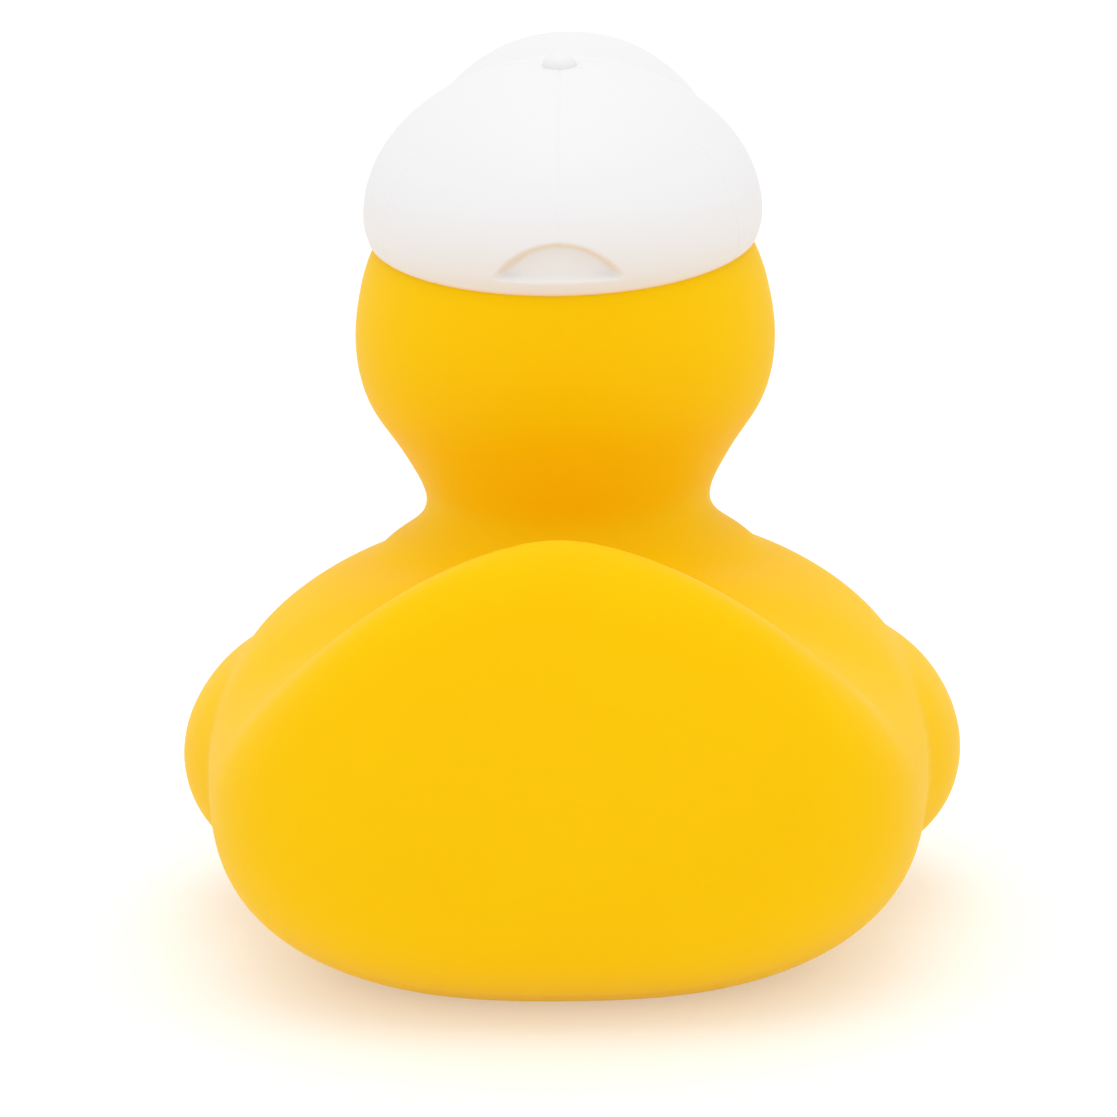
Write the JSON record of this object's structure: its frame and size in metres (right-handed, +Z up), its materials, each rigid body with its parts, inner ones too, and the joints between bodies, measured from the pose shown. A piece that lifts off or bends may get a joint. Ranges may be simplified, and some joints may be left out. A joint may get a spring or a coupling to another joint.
{
  "type": "rubber duck",
  "caption": "Hollow bath duck in a baseball cap with a flipped-up visor, moulded in one piece of soft vinyl, with a flat base and a small vent hole.",
  "frame": {"origin": "on the surface that the duck stands on, under the middle of its length and width", "axes": "+Z up, -Y towards the beak, +Y towards the tail, +X to the duck's left"},
  "size_m": [0.0862, 0.091, 0.0949],
  "materials": {
    "vinyl": "satin soft vinyl, coloured right through"
  },
  "bodies": {
    "root": {"duck": "vinyl"}
  },
  "joints": []
}
